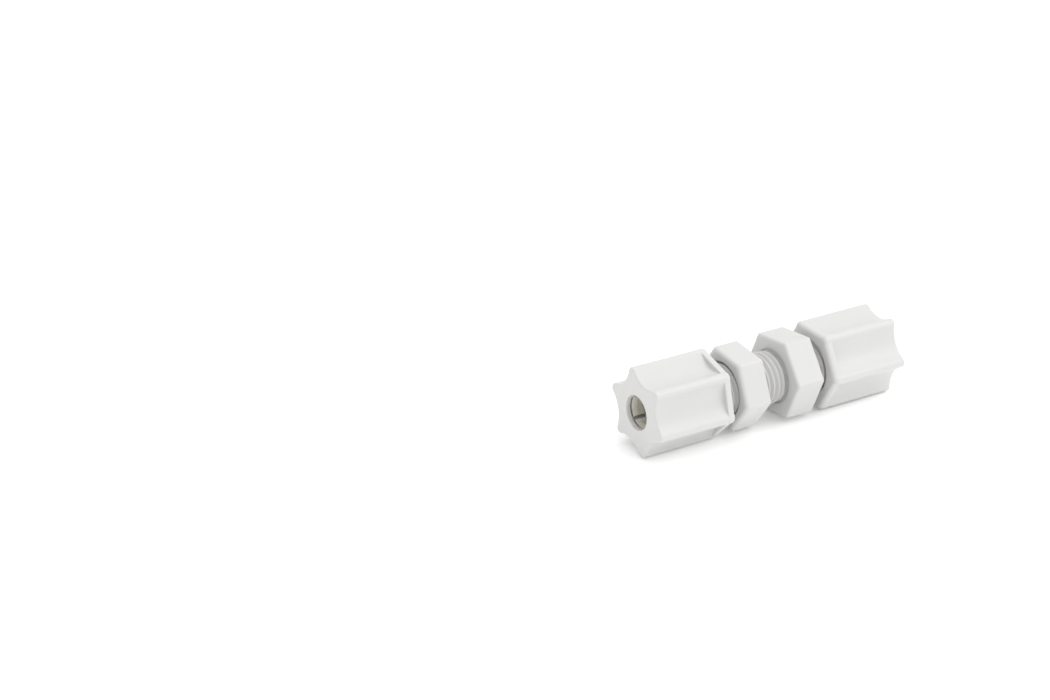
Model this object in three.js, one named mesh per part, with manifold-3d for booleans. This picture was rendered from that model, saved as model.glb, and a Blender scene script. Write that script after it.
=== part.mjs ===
// Bulkhead compression union for small plastic tube, built as its separate moulded pieces.
// Millimetres, +Z up. The tube axis is X and the origin is half way along the whole fitting.
// The left end carries the long thread with the panel nut; the hex flange is right of the middle.
// Each end is modelled in its own frame: origin at the end face of the union body, +X outwards.
import * as THREE from "three";
import { mergeVertices } from "three/addons/utils/BufferGeometryUtils.js";
import Module from "manifold-3d";

const wasm = await Module();
wasm.setup();

// ---- Driving dimensions ------------------------------------------------------------------

// Lengths along the axis.
const NUT_LENGTH = 18.2;
const NUT_STAND_OFF = 2.8;
const PANEL_NUT_THICKNESS = 6.1;
const PANEL_NUT_SETBACK = 2.8;
const PANEL_GAP = 6.5;
const FLANGE_THICKNESS = 6.5;

// Tube that the fitting joins, and the wall of the stem outside it, up to the thread's crest.
const TUBE_RADIUS = 3.175;
const STEM_WALL = 2.381;

// Thread shared by both compression nuts and the panel nut: 7/16 inch, 20 turns to the inch.
const PITCH = 1.27;
const FLANK_SLOPE = Math.tan(Math.PI / 6);
const THREAD_DEPTH = 0.6134 * PITCH;
const CREST_HALF_WIDTH = PITCH / 16;
const RADIAL_CLEARANCE = 0.2;
const FLANK_CLEARANCE = 0.13;
const RIDGE_ROOT_OVERLAP = 0.1;
const RIDGE_FADE_TURNS = 0.5;
const THREAD_START = 0.8;
const THREAD_RUN_OUT = 0.4;
const NECK_INSET = 0.06;

// Outside of the compression nut: six lobes with hollow flutes, and a hex collar at the thread end.
const LOBES = 6;
const NUT_WALL = 1.244;
const FLUTE_DEPTH = 2.45;
const LOBE_TIP_ROUND = 1.1;
const COLLAR_THICKNESS = 1.7;
const COLLAR_STEP = 1.15;
const COLLAR_CORNER_ROUND = 0.7;
const NUT_EDGE_BREAK = 0.4;

// Hexes of the body flange and of the panel nut, each wall measured outside the thread to a flat.
const FLANGE_WALL = 2.344;
const PANEL_NUT_WALL = 1.994;
const HEX_CORNER_ROUND = 0.6;
const HEX_EDGE_BREAK = 0.55;
const STEM_RELIEF_DEPTH = 0.3;

// Tube path and the clamping pieces inside each nut.
const TUBE_CLEARANCE = 0.125;
const TUBE_STOP_STEP = 0.775;
const SOCKET_DEPTH = 9.5;
const MOUTH_CLEARANCE = 0.525;
const THROAT_CLEARANCE = 0.225;
const NUT_LIP = 1.05;
const GRIPPER_LENGTH = 5.0;
const SPACER_THICKNESS = 0.7;
const SLEEVE_RIM = 0.75;
const SLEEVE_NOSE = 2.0;
const SEAT_DEPTH = 3.2;
const SEAT_MOUTH_WALL = 0.48;
const CONE_STEP = 0.123;
const CONTACT_GAP = 0.3;
const RING_CLEARANCE = 0.25;
const GRIP_TEETH = 4;
const GRIP_TOOTH_DEPTH = 0.25;
const GRIP_TIP_WALL = 0.3625;
const GRIP_SLOTS = 4;
const GRIP_SLOT_WIDTH = 0.8;
const GRIP_SLOT_SHARE = 0.65;

// How far each hex piece is turned on the axis as the fitting stands, in degrees.
const LEFT_NUT_TURN = -15.3;
const RIGHT_NUT_TURN = 1.3;
const PANEL_NUT_TURN = -6.0;
const FLANGE_TURN = 53.8;

// Fineness of the facets.
const RING_SEGMENTS = 28;
const THREAD_SEGMENTS = 16;
const CORNER_SEGMENTS = 3;
const LOBE_SEGMENTS = 4;
const FLUTE_SEGMENTS = 6;

// ---- Sizes that follow -------------------------------------------------------------------

const THREAD_RADIUS = TUBE_RADIUS + STEM_WALL;
const THREAD_ROOT_RADIUS = THREAD_RADIUS - THREAD_DEPTH;
const NUT_THREAD_RADIUS = THREAD_RADIUS + RADIAL_CLEARANCE;
const NUT_MINOR_RADIUS = THREAD_ROOT_RADIUS + RADIAL_CLEARANCE;
const FLUTE_ROOT_RADIUS = NUT_THREAD_RADIUS + NUT_WALL;
const LOBE_CREST_RADIUS = FLUTE_ROOT_RADIUS + FLUTE_DEPTH;
const COLLAR_FLATS = 2 * (FLUTE_ROOT_RADIUS + COLLAR_STEP);
const FLANGE_FLATS = 2 * (NUT_THREAD_RADIUS + FLANGE_WALL);
const PANEL_NUT_FLATS = 2 * (NUT_THREAD_RADIUS + PANEL_NUT_WALL);
const THROUGH_BORE_RADIUS = TUBE_RADIUS - TUBE_STOP_STEP;
const NUT_MOUTH_RADIUS = TUBE_RADIUS + MOUTH_CLEARANCE;
const NUT_THROAT_RADIUS = TUBE_RADIUS + THROAT_CLEARANCE;
const SOCKET_RADIUS = TUBE_RADIUS + TUBE_CLEARANCE;
const GRIP_RADIUS = TUBE_RADIUS + TUBE_CLEARANCE / 2;
const SEAT_MOUTH_RADIUS = THREAD_ROOT_RADIUS - SEAT_MOUTH_WALL;

// The clamping stack outside the body's end face, from the sleeve out to the nut's lip.
const SLEEVE_RIM_START = CONTACT_GAP;
const SPACER_START = SLEEVE_RIM_START + SLEEVE_RIM + CONTACT_GAP;
const GRIPPER_START = SPACER_START + SPACER_THICKNESS + CONTACT_GAP;
const LIP_START = GRIPPER_START + GRIPPER_LENGTH + CONTACT_GAP;
const NUT_NOSE = LIP_START + NUT_LIP;
const NUT_FACE = NUT_NOSE - NUT_LENGTH;

// The nut's inner cone, which wedges the gripper onto the tube.
const CONE_WIDE_RADIUS = THREAD_ROOT_RADIUS + CONE_STEP;
const CONE_NARROW_RADIUS = GRIP_RADIUS + GRIP_TOOTH_DEPTH + GRIP_TIP_WALL + RING_CLEARANCE;
const CONE_WIDE_AT = SPACER_START;

// Where the body's two end faces are, and its flange.
const TOTAL_LENGTH =
  2 * NUT_LENGTH + NUT_STAND_OFF + PANEL_NUT_SETBACK +
  PANEL_NUT_THICKNESS + PANEL_GAP + FLANGE_THICKNESS;
const BODY_END = TOTAL_LENGTH / 2 - NUT_NOSE;
const FLANGE_RIGHT = BODY_END + NUT_FACE - NUT_STAND_OFF;
const FLANGE_LEFT = FLANGE_RIGHT - FLANGE_THICKNESS;
const PANEL_NUT_OUTER = NUT_FACE - PANEL_NUT_SETBACK;
const PANEL_NUT_INNER = PANEL_NUT_OUTER - PANEL_NUT_THICKNESS;

// ---- Helpers -----------------------------------------------------------------------------

const X_AXIS = new THREE.Vector3(1, 0, 0);
const Y_AXIS = new THREE.Vector3(0, 1, 0);
const Z_AXIS = new THREE.Vector3(0, 0, 1);
const EXTRUDE_ALONG_X = new THREE.Matrix4().makeBasis(Y_AXIS, Z_AXIS, X_AXIS);
const LATHE_ABOUT_X = new THREE.Matrix4().makeBasis(Z_AXIS, X_AXIS, Y_AXIS);

function solidOf(geometry) {
  const bare = geometry.clone();
  bare.deleteAttribute("normal");
  bare.deleteAttribute("uv");
  const merged = mergeVertices(bare);
  return new wasm.Manifold(
    new wasm.Mesh({
      numProp: 3,
      vertProperties: new Float32Array(merged.attributes.position.array),
      triVerts: new Uint32Array(merged.index.array),
    }),
  );
}

function geometryOf(solid) {
  const mesh = solid.getMesh();
  const geometry = new THREE.BufferGeometry();
  geometry.setAttribute("position", new THREE.BufferAttribute(mesh.vertProperties, 3));
  geometry.setIndex(new THREE.BufferAttribute(mesh.triVerts, 1));
  const faceted = geometry.toNonIndexed();
  faceted.computeVertexNormals();
  return faceted;
}

// A turned shape about X. The corners are [axial place, radius], along the outside towards +X and
// back along the inside. Its facets line up with those of a thread.
function turned(corners, segments = THREAD_SEGMENTS) {
  const profile = corners.map(([along, radius]) => new THREE.Vector2(radius, along));
  return new THREE.LatheGeometry(profile, segments).applyMatrix4(LATHE_ABOUT_X);
}

// A closed ring, whose last corner joins its first.
function ring(corners) {
  return turned([...corners, corners[0]], RING_SEGMENTS);
}

// A prism of an outline in the YZ plane from one axial place to another, with broken edges.
function prism(outline, from, to, edgeBreak, curveSegments) {
  const geometry = new THREE.ExtrudeGeometry(outline, {
    depth: to - from - 2 * edgeBreak,
    bevelThickness: edgeBreak,
    bevelSize: edgeBreak,
    bevelOffset: -edgeBreak,
    bevelSegments: 2,
    curveSegments,
  });
  geometry.translate(0, 0, from + edgeBreak);
  return geometry.applyMatrix4(EXTRUDE_ALONG_X);
}

// A hexagon with rounded corners, the first corner at the given angle from Y towards Z.
function hexOutline(flats, cornerRound, turn) {
  const outline = new THREE.Shape();
  const centreRadius = (flats / 2 - cornerRound) / Math.cos(Math.PI / 6);
  for (let corner = 0; corner < 6; corner += 1) {
    const angle = turn + (corner * Math.PI) / 3;
    outline.absarc(
      centreRadius * Math.cos(angle),
      centreRadius * Math.sin(angle),
      cornerRound,
      angle - Math.PI / 6,
      angle + Math.PI / 6,
    );
  }
  return outline;
}

// Lobe tips and hollow flutes as arcs that meet tangentially, the first lobe on +Y.
function lobedOutline() {
  const outline = new THREE.Shape();
  const half = Math.PI / LOBES;
  const tipCentre = LOBE_CREST_RADIUS - LOBE_TIP_ROUND;
  const across = tipCentre * Math.cos(half);
  const fluteRound =
    (FLUTE_ROOT_RADIUS ** 2 + tipCentre ** 2 - 2 * FLUTE_ROOT_RADIUS * across - LOBE_TIP_ROUND ** 2) /
    (2 * (across - FLUTE_ROOT_RADIUS + LOBE_TIP_ROUND));
  const fluteCentre = FLUTE_ROOT_RADIUS + fluteRound;
  const lean = Math.atan2(fluteCentre * Math.sin(half), fluteCentre * Math.cos(half) - tipCentre);
  for (let lobe = 0; lobe < LOBES; lobe += 1) {
    const angle = 2 * half * lobe;
    for (let step = 0; step <= LOBE_SEGMENTS; step += 1) {
      const turn = angle + lean * ((2 * step) / LOBE_SEGMENTS - 1);
      const y = tipCentre * Math.cos(angle) + LOBE_TIP_ROUND * Math.cos(turn);
      const z = tipCentre * Math.sin(angle) + LOBE_TIP_ROUND * Math.sin(turn);
      if (lobe + step === 0) outline.moveTo(y, z);
      else outline.lineTo(y, z);
    }
    const flute = angle + half;
    const sweep = lean - half;
    for (let step = 1; step < FLUTE_SEGMENTS; step += 1) {
      const turn = flute + Math.PI + sweep * (1 - (2 * step) / FLUTE_SEGMENTS);
      outline.lineTo(
        fluteCentre * Math.cos(flute) + fluteRound * Math.cos(turn),
        fluteCentre * Math.sin(flute) + fluteRound * Math.sin(turn),
      );
    }
  }
  outline.closePath();
  return outline;
}

// A right-handed helical ridge. Its section is extruded along a straight run, which is then wound
// round X, and the ridge sinks into the wall at both ends. A ridge's middle passes through +Y
// where its axial place is the phase plus whole pitches, and it starts and ends on a facet's edge.
function helicalRidge(base, crest, from, to, phase) {
  const stepLength = PITCH / THREAD_SEGMENTS;
  const first = Math.ceil((from - phase) / stepLength);
  const steps = Math.floor((to - phase) / stepLength) - first;
  const section = new THREE.Shape([
    new THREE.Vector2(-base.half, base.radius),
    new THREE.Vector2(base.half, base.radius),
    new THREE.Vector2(crest.half, crest.radius),
    new THREE.Vector2(-crest.half, crest.radius),
  ]);
  const turns = steps / THREAD_SEGMENTS;
  const geometry = new THREE.ExtrudeGeometry(section, { depth: turns, steps, bevelEnabled: false });
  const points = geometry.attributes.position;
  for (let i = 0; i < points.count; i += 1) {
    const turn = points.getZ(i);
    const middle = phase + first * stepLength + turn * PITCH;
    const angle = 2 * Math.PI * (first / THREAD_SEGMENTS + turn);
    const fade = Math.min(1, 0.04 + Math.min(turn, turns - turn) / RIDGE_FADE_TURNS);
    const radius = base.radius + (points.getY(i) - base.radius) * fade;
    points.setXYZ(i, middle + points.getX(i), radius * Math.cos(angle), radius * Math.sin(angle));
  }
  return geometry;
}

function outerRidge(from, to) {
  const baseHalf = CREST_HALF_WIDTH + (THREAD_DEPTH + RIDGE_ROOT_OVERLAP) * FLANK_SLOPE;
  return helicalRidge(
    { radius: THREAD_ROOT_RADIUS - RIDGE_ROOT_OVERLAP, half: baseHalf },
    { radius: THREAD_RADIUS, half: CREST_HALF_WIDTH },
    from,
    to,
    0,
  );
}

// Half the width that the groove between two outer ridges leaves an inner ridge at a radius.
function innerHalf(radius) {
  return PITCH / 2 - CREST_HALF_WIDTH - FLANK_CLEARANCE - (THREAD_RADIUS - radius) * FLANK_SLOPE;
}

function innerRidge(from, to) {
  const baseRadius = NUT_THREAD_RADIUS + RIDGE_ROOT_OVERLAP;
  return helicalRidge(
    { radius: baseRadius, half: innerHalf(baseRadius) },
    { radius: NUT_MINOR_RADIUS, half: innerHalf(NUT_MINOR_RADIUS) },
    from,
    to,
    PITCH / 2,
  );
}

// ---- Frames of the two ends --------------------------------------------------------------

const rightEnd = new THREE.Group();
rightEnd.position.x = BODY_END;
const leftEnd = new THREE.Group();
leftEnd.position.x = -BODY_END;
leftEnd.rotation.z = Math.PI;

function inFrameOf(end, geometry) {
  end.updateMatrixWorld();
  return geometry.applyMatrix4(end.matrixWorld);
}

// ---- Pieces ------------------------------------------------------------------------------

// The stem of one end: thread core with a broken edge at the mouth, back to the flange.
function stem(length) {
  const edge = THREAD_START / 2;
  return turned([
    [-length, 0],
    [-length, THREAD_ROOT_RADIUS],
    [-edge, THREAD_ROOT_RADIUS],
    [0, THREAD_ROOT_RADIUS - edge / 2],
    [0, 0],
  ]);
}

// The tube's way into one end: cone seat for the sleeve, then the socket down to the tube stop.
function tubeSocket() {
  const outside = CONTACT_GAP;
  const seatSlope = (SEAT_MOUTH_RADIUS - SOCKET_RADIUS) / SEAT_DEPTH;
  return turned([
    [-SOCKET_DEPTH, 0],
    [-SOCKET_DEPTH, SOCKET_RADIUS],
    [-SEAT_DEPTH, SOCKET_RADIUS],
    [outside, SEAT_MOUTH_RADIUS + outside * seatSlope],
    [outside, 0],
  ]);
}

// The union body: both stems with their threads, the plain neck, the bores and the hex flange,
// whose face to the panel has a shallow relief round the stem so that a panel lies flat on it.
function unionBodyGeometry() {
  const rightStem = BODY_END - FLANGE_LEFT;
  const leftStem = BODY_END + FLANGE_RIGHT;
  const neckEnd = NUT_FACE - CONTACT_GAP;
  const neckRadius = THREAD_RADIUS - NECK_INSET;
  const flange = prism(
    hexOutline(FLANGE_FLATS, HEX_CORNER_ROUND, THREE.MathUtils.degToRad(FLANGE_TURN)),
    FLANGE_LEFT,
    FLANGE_RIGHT,
    HEX_EDGE_BREAK,
    CORNER_SEGMENTS,
  );
  const relief = turned([
    [FLANGE_LEFT - CONTACT_GAP, 0],
    [FLANGE_LEFT - CONTACT_GAP, NUT_THREAD_RADIUS],
    [FLANGE_LEFT + STEM_RELIEF_DEPTH, NUT_THREAD_RADIUS],
    [FLANGE_LEFT + STEM_RELIEF_DEPTH, 0],
  ]);
  const neck = turned([
    [-rightStem + FLANGE_THICKNESS / 2, 0],
    [-rightStem + FLANGE_THICKNESS / 2, neckRadius],
    [neckEnd - PITCH / 2, neckRadius],
    [neckEnd, THREAD_ROOT_RADIUS],
    [neckEnd, 0],
  ]);
  const through = turned([
    [-BODY_END, 0],
    [-BODY_END, THROUGH_BORE_RADIUS],
    [BODY_END, THROUGH_BORE_RADIUS],
    [BODY_END, 0],
  ]);
  const flangeInLeftFrame = -BODY_END - FLANGE_LEFT;
  let body = solidOf(flange).subtract(solidOf(relief));
  body = body.add(solidOf(inFrameOf(rightEnd, stem(rightStem))));
  body = body.add(solidOf(inFrameOf(leftEnd, stem(leftStem))));
  body = body.add(solidOf(inFrameOf(rightEnd, neck)));
  body = body.add(solidOf(inFrameOf(rightEnd, outerRidge(neckEnd - PITCH / 2, -THREAD_START))));
  body = body.add(
    solidOf(inFrameOf(leftEnd, outerRidge(flangeInLeftFrame + THREAD_RUN_OUT, -THREAD_START))),
  );
  body = body.subtract(solidOf(inFrameOf(rightEnd, tubeSocket())));
  body = body.subtract(solidOf(inFrameOf(leftEnd, tubeSocket())));
  body = body.subtract(solidOf(through));
  return geometryOf(body);
}

// A compression nut: fluted barrel and hex collar, bored for the tube, the cone and the thread.
function compressionNutGeometry() {
  const barrel = prism(
    lobedOutline(),
    NUT_FACE + COLLAR_THICKNESS / 4,
    NUT_NOSE,
    NUT_EDGE_BREAK,
    1,
  );
  const collar = prism(
    hexOutline(COLLAR_FLATS, COLLAR_CORNER_ROUND, 0),
    NUT_FACE,
    NUT_FACE + COLLAR_THICKNESS,
    NUT_EDGE_BREAK,
    CORNER_SEGMENTS,
  );
  const past = CONTACT_GAP;
  const threadEnd = CONE_WIDE_AT - (NUT_THREAD_RADIUS - CONE_WIDE_RADIUS) / 2;
  const cavity = turned([
    [NUT_FACE - past, 0],
    [NUT_FACE - past, NUT_THREAD_RADIUS + past],
    [NUT_FACE + past, NUT_THREAD_RADIUS],
    [threadEnd, NUT_THREAD_RADIUS],
    [CONE_WIDE_AT, CONE_WIDE_RADIUS],
    [LIP_START, CONE_NARROW_RADIUS],
    [LIP_START, NUT_THROAT_RADIUS],
    [NUT_NOSE, NUT_MOUTH_RADIUS],
    [NUT_NOSE + past, NUT_MOUTH_RADIUS],
    [NUT_NOSE + past, 0],
  ]);
  const ridge = innerRidge(NUT_FACE + THREAD_START, threadEnd - THREAD_RUN_OUT);
  const shell = solidOf(barrel).add(solidOf(collar)).subtract(solidOf(cavity));
  return geometryOf(shell.add(solidOf(ridge)));
}

// The panel nut: a plain hex nut on the long thread.
function panelNutGeometry() {
  const hex = prism(
    hexOutline(PANEL_NUT_FLATS, HEX_CORNER_ROUND, 0),
    PANEL_NUT_INNER,
    PANEL_NUT_OUTER,
    HEX_EDGE_BREAK,
    CORNER_SEGMENTS,
  );
  const past = CONTACT_GAP;
  const hole = turned([
    [PANEL_NUT_INNER - past, 0],
    [PANEL_NUT_INNER - past, NUT_THREAD_RADIUS + past],
    [PANEL_NUT_INNER + past, NUT_THREAD_RADIUS],
    [PANEL_NUT_OUTER - past, NUT_THREAD_RADIUS],
    [PANEL_NUT_OUTER + past, NUT_THREAD_RADIUS + past],
    [PANEL_NUT_OUTER + past, 0],
  ]);
  const ridge = innerRidge(PANEL_NUT_INNER + THREAD_START, PANEL_NUT_OUTER - THREAD_START);
  return geometryOf(solidOf(hex).subtract(solidOf(hole)).add(solidOf(ridge)));
}

// The radius that the nut's cone leaves at an axial place.
function coneRadiusAt(along) {
  const share = (along - CONE_WIDE_AT) / (LIP_START - CONE_WIDE_AT);
  return CONE_WIDE_RADIUS + share * (CONE_NARROW_RADIUS - CONE_WIDE_RADIUS);
}

// The gripper: a split cone ring with saw teeth that bite the tube, slotted from its narrow end.
function gripperGeometry() {
  const from = GRIPPER_START;
  const to = GRIPPER_START + GRIPPER_LENGTH;
  const toothPitch = GRIPPER_LENGTH / GRIP_TEETH;
  const teeth = [];
  for (let tooth = GRIP_TEETH; tooth > 0; tooth -= 1) {
    teeth.push([from + tooth * toothPitch, GRIP_RADIUS + GRIP_TOOTH_DEPTH]);
    teeth.push([from + (tooth - 1) * toothPitch, GRIP_RADIUS]);
  }
  let gripper = solidOf(
    ring([
      [from, coneRadiusAt(from) - RING_CLEARANCE],
      [to, coneRadiusAt(to) - RING_CLEARANCE],
      ...teeth,
    ]),
  );
  for (let slot = 0; slot < GRIP_SLOTS; slot += 1) {
    const cutLength = slot === 0 ? GRIPPER_LENGTH + 2 * CONTACT_GAP : GRIPPER_LENGTH * GRIP_SLOT_SHARE;
    const cut = new THREE.BoxGeometry(cutLength, CONE_WIDE_RADIUS, GRIP_SLOT_WIDTH);
    cut.translate(to + CONTACT_GAP - cutLength / 2, CONE_WIDE_RADIUS / 2 + GRIP_SLOT_WIDTH, 0);
    cut.rotateX((2 * Math.PI * slot) / GRIP_SLOTS + Math.PI / GRIP_SLOTS);
    gripper = gripper.subtract(solidOf(cut));
  }
  return geometryOf(gripper);
}

// The spacer: a thrust washer, so that the turning nut doesn't twist the sleeve.
function spacerGeometry() {
  const outer = CONE_WIDE_RADIUS - RING_CLEARANCE;
  return ring([
    [SPACER_START, outer],
    [SPACER_START + SPACER_THICKNESS, outer],
    [SPACER_START + SPACER_THICKNESS, SOCKET_RADIUS],
    [SPACER_START, SOCKET_RADIUS],
  ]);
}

// The sleeve: a rim outside the body's mouth and a cone that goes down into its seat.
function sleeveGeometry() {
  const seatSlope = (SEAT_MOUTH_RADIUS - SOCKET_RADIUS) / SEAT_DEPTH;
  const noseRadius = SEAT_MOUTH_RADIUS - SLEEVE_NOSE * seatSlope - RING_CLEARANCE;
  const neckRadius = SEAT_MOUTH_RADIUS - RING_CLEARANCE;
  const rimRadius = THREAD_ROOT_RADIUS - RING_CLEARANCE;
  return ring([
    [-SLEEVE_NOSE, noseRadius],
    [0, neckRadius],
    [SLEEVE_RIM_START, neckRadius],
    [SLEEVE_RIM_START, rimRadius],
    [SLEEVE_RIM_START + SLEEVE_RIM, rimRadius],
    [SLEEVE_RIM_START + SLEEVE_RIM, GRIP_RADIUS],
    [-SLEEVE_NOSE, GRIP_RADIUS],
  ]);
}

// ---- Materials and assembly --------------------------------------------------------------

function plastic(color, roughness) {
  return new THREE.MeshStandardMaterial({ color, roughness, metalness: 0 });
}

const bodyPlastic = plastic(0xe9e9e7, 0.5);
const nutPlastic = plastic(0xebebe9, 0.48);
const gripperPlastic = plastic(0xd8d7cf, 0.4);
const spacerPlastic = plastic(0xe0dfd8, 0.45);
const sleevePlastic = plastic(0xe6e4da, 0.55);

function piece(name, geometry, material) {
  const mesh = new THREE.Mesh(geometry, material);
  mesh.name = name;
  return mesh;
}

// A nut turned on its thread also moves along it.
function turnOnThread(nut, degrees) {
  nut.rotation.x = THREE.MathUtils.degToRad(degrees);
  nut.position.x = (PITCH * degrees) / 360;
  return nut;
}

const coupling = new THREE.Group();
coupling.add(piece("union_body", unionBodyGeometry(), bodyPlastic));
coupling.add(leftEnd, rightEnd);

const ends = [
  { side: "left", frame: leftEnd, turn: LEFT_NUT_TURN },
  { side: "right", frame: rightEnd, turn: RIGHT_NUT_TURN },
];
for (const { side, frame, turn } of ends) {
  const nut = piece(`${side}_compression_nut`, compressionNutGeometry(), nutPlastic);
  frame.add(turnOnThread(nut, turn));
  frame.add(piece(`${side}_gripper`, gripperGeometry(), gripperPlastic));
  frame.add(piece(`${side}_spacer`, spacerGeometry(), spacerPlastic));
  frame.add(piece(`${side}_sleeve`, sleeveGeometry(), sleevePlastic));
}
leftEnd.add(turnOnThread(piece("panel_nut", panelNutGeometry(), nutPlastic), PANEL_NUT_TURN));

export default coupling;
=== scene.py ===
# %% [markdown]
# # A bulkhead compression union for small plastic tube
# The fitting joins two tubes end to end through a panel. A long threaded stem with a hex flange goes
# through a hole, a hex nut clamps it there, and a fluted nut at each end squeezes a small stack of
# rings onto the tube. Everything is moulded in white polypropylene, so the whole look rests on three
# things: soft moulded edges, a real helical thread, and a satin skin that light enters a little.
#
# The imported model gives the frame: where each piece sits, and which piece moves with which body.

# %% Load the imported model
import math

import bmesh
import bpy
import numpy as np
from mathutils import Matrix, Vector


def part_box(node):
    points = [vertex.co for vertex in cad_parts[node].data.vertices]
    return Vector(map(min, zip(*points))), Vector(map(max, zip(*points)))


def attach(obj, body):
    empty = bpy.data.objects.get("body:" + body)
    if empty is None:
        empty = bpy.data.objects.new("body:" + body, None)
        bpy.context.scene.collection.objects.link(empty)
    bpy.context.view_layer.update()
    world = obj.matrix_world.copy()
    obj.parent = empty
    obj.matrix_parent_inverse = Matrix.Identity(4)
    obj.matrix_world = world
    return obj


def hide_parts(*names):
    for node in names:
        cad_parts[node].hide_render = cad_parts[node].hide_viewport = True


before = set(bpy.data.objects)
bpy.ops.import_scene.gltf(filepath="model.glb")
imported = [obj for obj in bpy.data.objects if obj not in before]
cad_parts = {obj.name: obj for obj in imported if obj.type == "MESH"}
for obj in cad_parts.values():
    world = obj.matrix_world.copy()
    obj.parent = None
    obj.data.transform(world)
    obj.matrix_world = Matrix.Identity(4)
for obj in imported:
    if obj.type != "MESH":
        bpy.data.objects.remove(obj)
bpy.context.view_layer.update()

MM = 0.001

# %% [markdown]
# ## The places of the pieces
# All sizes below are in millimetres. Each end of the fitting has its own frame, with its origin on the
# end face of the body and X pointing outwards, so one set of code makes both ends. The left end is
# the same frame turned half round. A nut that is turned on its thread also moves along it, by one
# pitch for each turn, so turning and moving always go together.

# %% Frames of the two ends
PITCH = 1.27
BODY_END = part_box("union_body")[1].x / MM
NUT_TURNS = {"left": -15.3, "right": 1.3}
PANEL_NUT_TURN = -6.0


def end_frame(side, turn=0.0):
    """From an end's own frame to the whole fitting's, for a piece turned by so many degrees."""
    screwed = Matrix.Translation((PITCH * turn / 360, 0, 0)) @ Matrix.Rotation(math.radians(turn), 4, "X")
    if side == "right":
        return Matrix.Translation((BODY_END, 0, 0)) @ screwed
    return Matrix.Translation((-BODY_END, 0, 0)) @ Matrix.Rotation(math.pi, 4, "Z") @ screwed


def moved(points, matrix):
    """Points of any array shape, moved by a matrix."""
    m = np.array(matrix)
    return points @ m[:3, :3].T + m[:3, 3]


print("the body reaches from", round(-BODY_END, 2), "to", round(BODY_END, 2))

# %% [markdown]
# ## Loops and skins
# Every piece here has a hole right through it, so its whole surface can be woven from loops that go
# round the axis: out along the outside, over one end face, back through the bore and over the other
# end face. A skin joins one loop to the next with four-sided faces. Primitive cylinders joined with
# booleans would be quicker, but they leave long thin faces that catch the light badly, and no room
# for a rounded edge. With loops, each edge gets as many steps as its rounding needs.

# %% Loops and skins
def circle(columns):
    """Angles of evenly spaced columns round the axis."""
    return np.arange(columns) * 2 * np.pi / columns


def round_loop(x, radius, columns):
    """One loop of points at an axial place; the place and the radius may change from column to column."""
    angles = circle(columns)
    x = np.broadcast_to(x, angles.shape)
    return np.stack([x, radius * np.cos(angles), radius * np.sin(angles)], 1)


def turned_skin(path, columns):
    """Loops for a turned surface, one for each (axial place, radius) of the path."""
    return np.array([round_loop(x, radius, columns) for x, radius in path])


def skin_faces(rows, columns, closed):
    """Four-sided faces between neighbouring loops, with the last column joined to the first if closed."""
    last = columns if closed else columns - 1
    row, column = np.meshgrid(np.arange(rows - 1), np.arange(last), indexing="ij")
    after = (column + 1) % columns
    corners = [row * columns + column, row * columns + after,
               (row + 1) * columns + after, (row + 1) * columns + column]
    return np.stack([c.ravel() for c in corners], 1)


# %% [markdown]
# A corner of a turned profile is rounded with a true circular arc. A rational curve through three
# points gives exactly that when the middle point has the right weight, which saves working out the
# arc's centre for each corner. A flat keeps one support loop close to each rounded edge, so that
# its shading stays even right up to the edge.

# %% Rounded profiles
ARC_STEPS = 5
SUPPORT = 0.2
FACE_SUPPORT = 0.25


def rounded_path(corners):
    """A profile of (axial place, radius, rounding) corners, with an arc at each corner that has one."""
    points = [np.array(corners[0][:2])]
    for before, corner, after in zip(corners, corners[1:], corners[2:]):
        middle = np.array(corner[:2])
        rounding = corner[2] if len(corner) > 2 else 0
        if not rounding:
            points.append(middle)
            continue
        back = np.array(before[:2]) - middle
        ahead = np.array(after[:2]) - middle
        back_length, ahead_length = np.linalg.norm(back), np.linalg.norm(ahead)
        back, ahead = back / back_length, ahead / ahead_length
        half = math.acos(np.clip(back @ ahead, -1, 1)) / 2
        cut = min(rounding / math.tan(half), 0.48 * back_length, 0.48 * ahead_length)
        weight = math.sin(half)
        for t in np.linspace(0, 1, ARC_STEPS + 1):
            shares = np.array([(1 - t) ** 2, 2 * weight * t * (1 - t), t ** 2])
            trio = np.array([middle + back * cut, middle, middle + ahead * cut])
            points.append(shares @ trio / shares.sum())
    points.append(np.array(corners[-1][:2]))
    return points


# %% [markdown]
# ## Outlines of the hexes and of the fluted nut
# A hex is six flats with small round corners. The fluted nut is six round lobe tips with a hollow
# flute between each pair, drawn as arcs that meet without a kink. A moulded edge is made by stepping
# the outline inwards, so each outline keeps the step of every point for one millimetre of inset: the
# lobes step square to their surface, and a hex shrinks as a whole, which keeps its corners clean.

# %% Outlines
SIDES = 6
SECTOR = 2 * np.pi / SIDES


def directions(angles):
    return np.stack([np.cos(angles), np.sin(angles)], 1)


def from_first_column(points, steps):
    """The same outline, starting with the column nearest to the first column of a round loop."""
    angles = np.arctan2(points[:, 1], points[:, 0])
    first = np.argmin(np.abs(angles))
    return np.roll(points, -first, 0), np.roll(steps, -first, 0)


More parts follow.
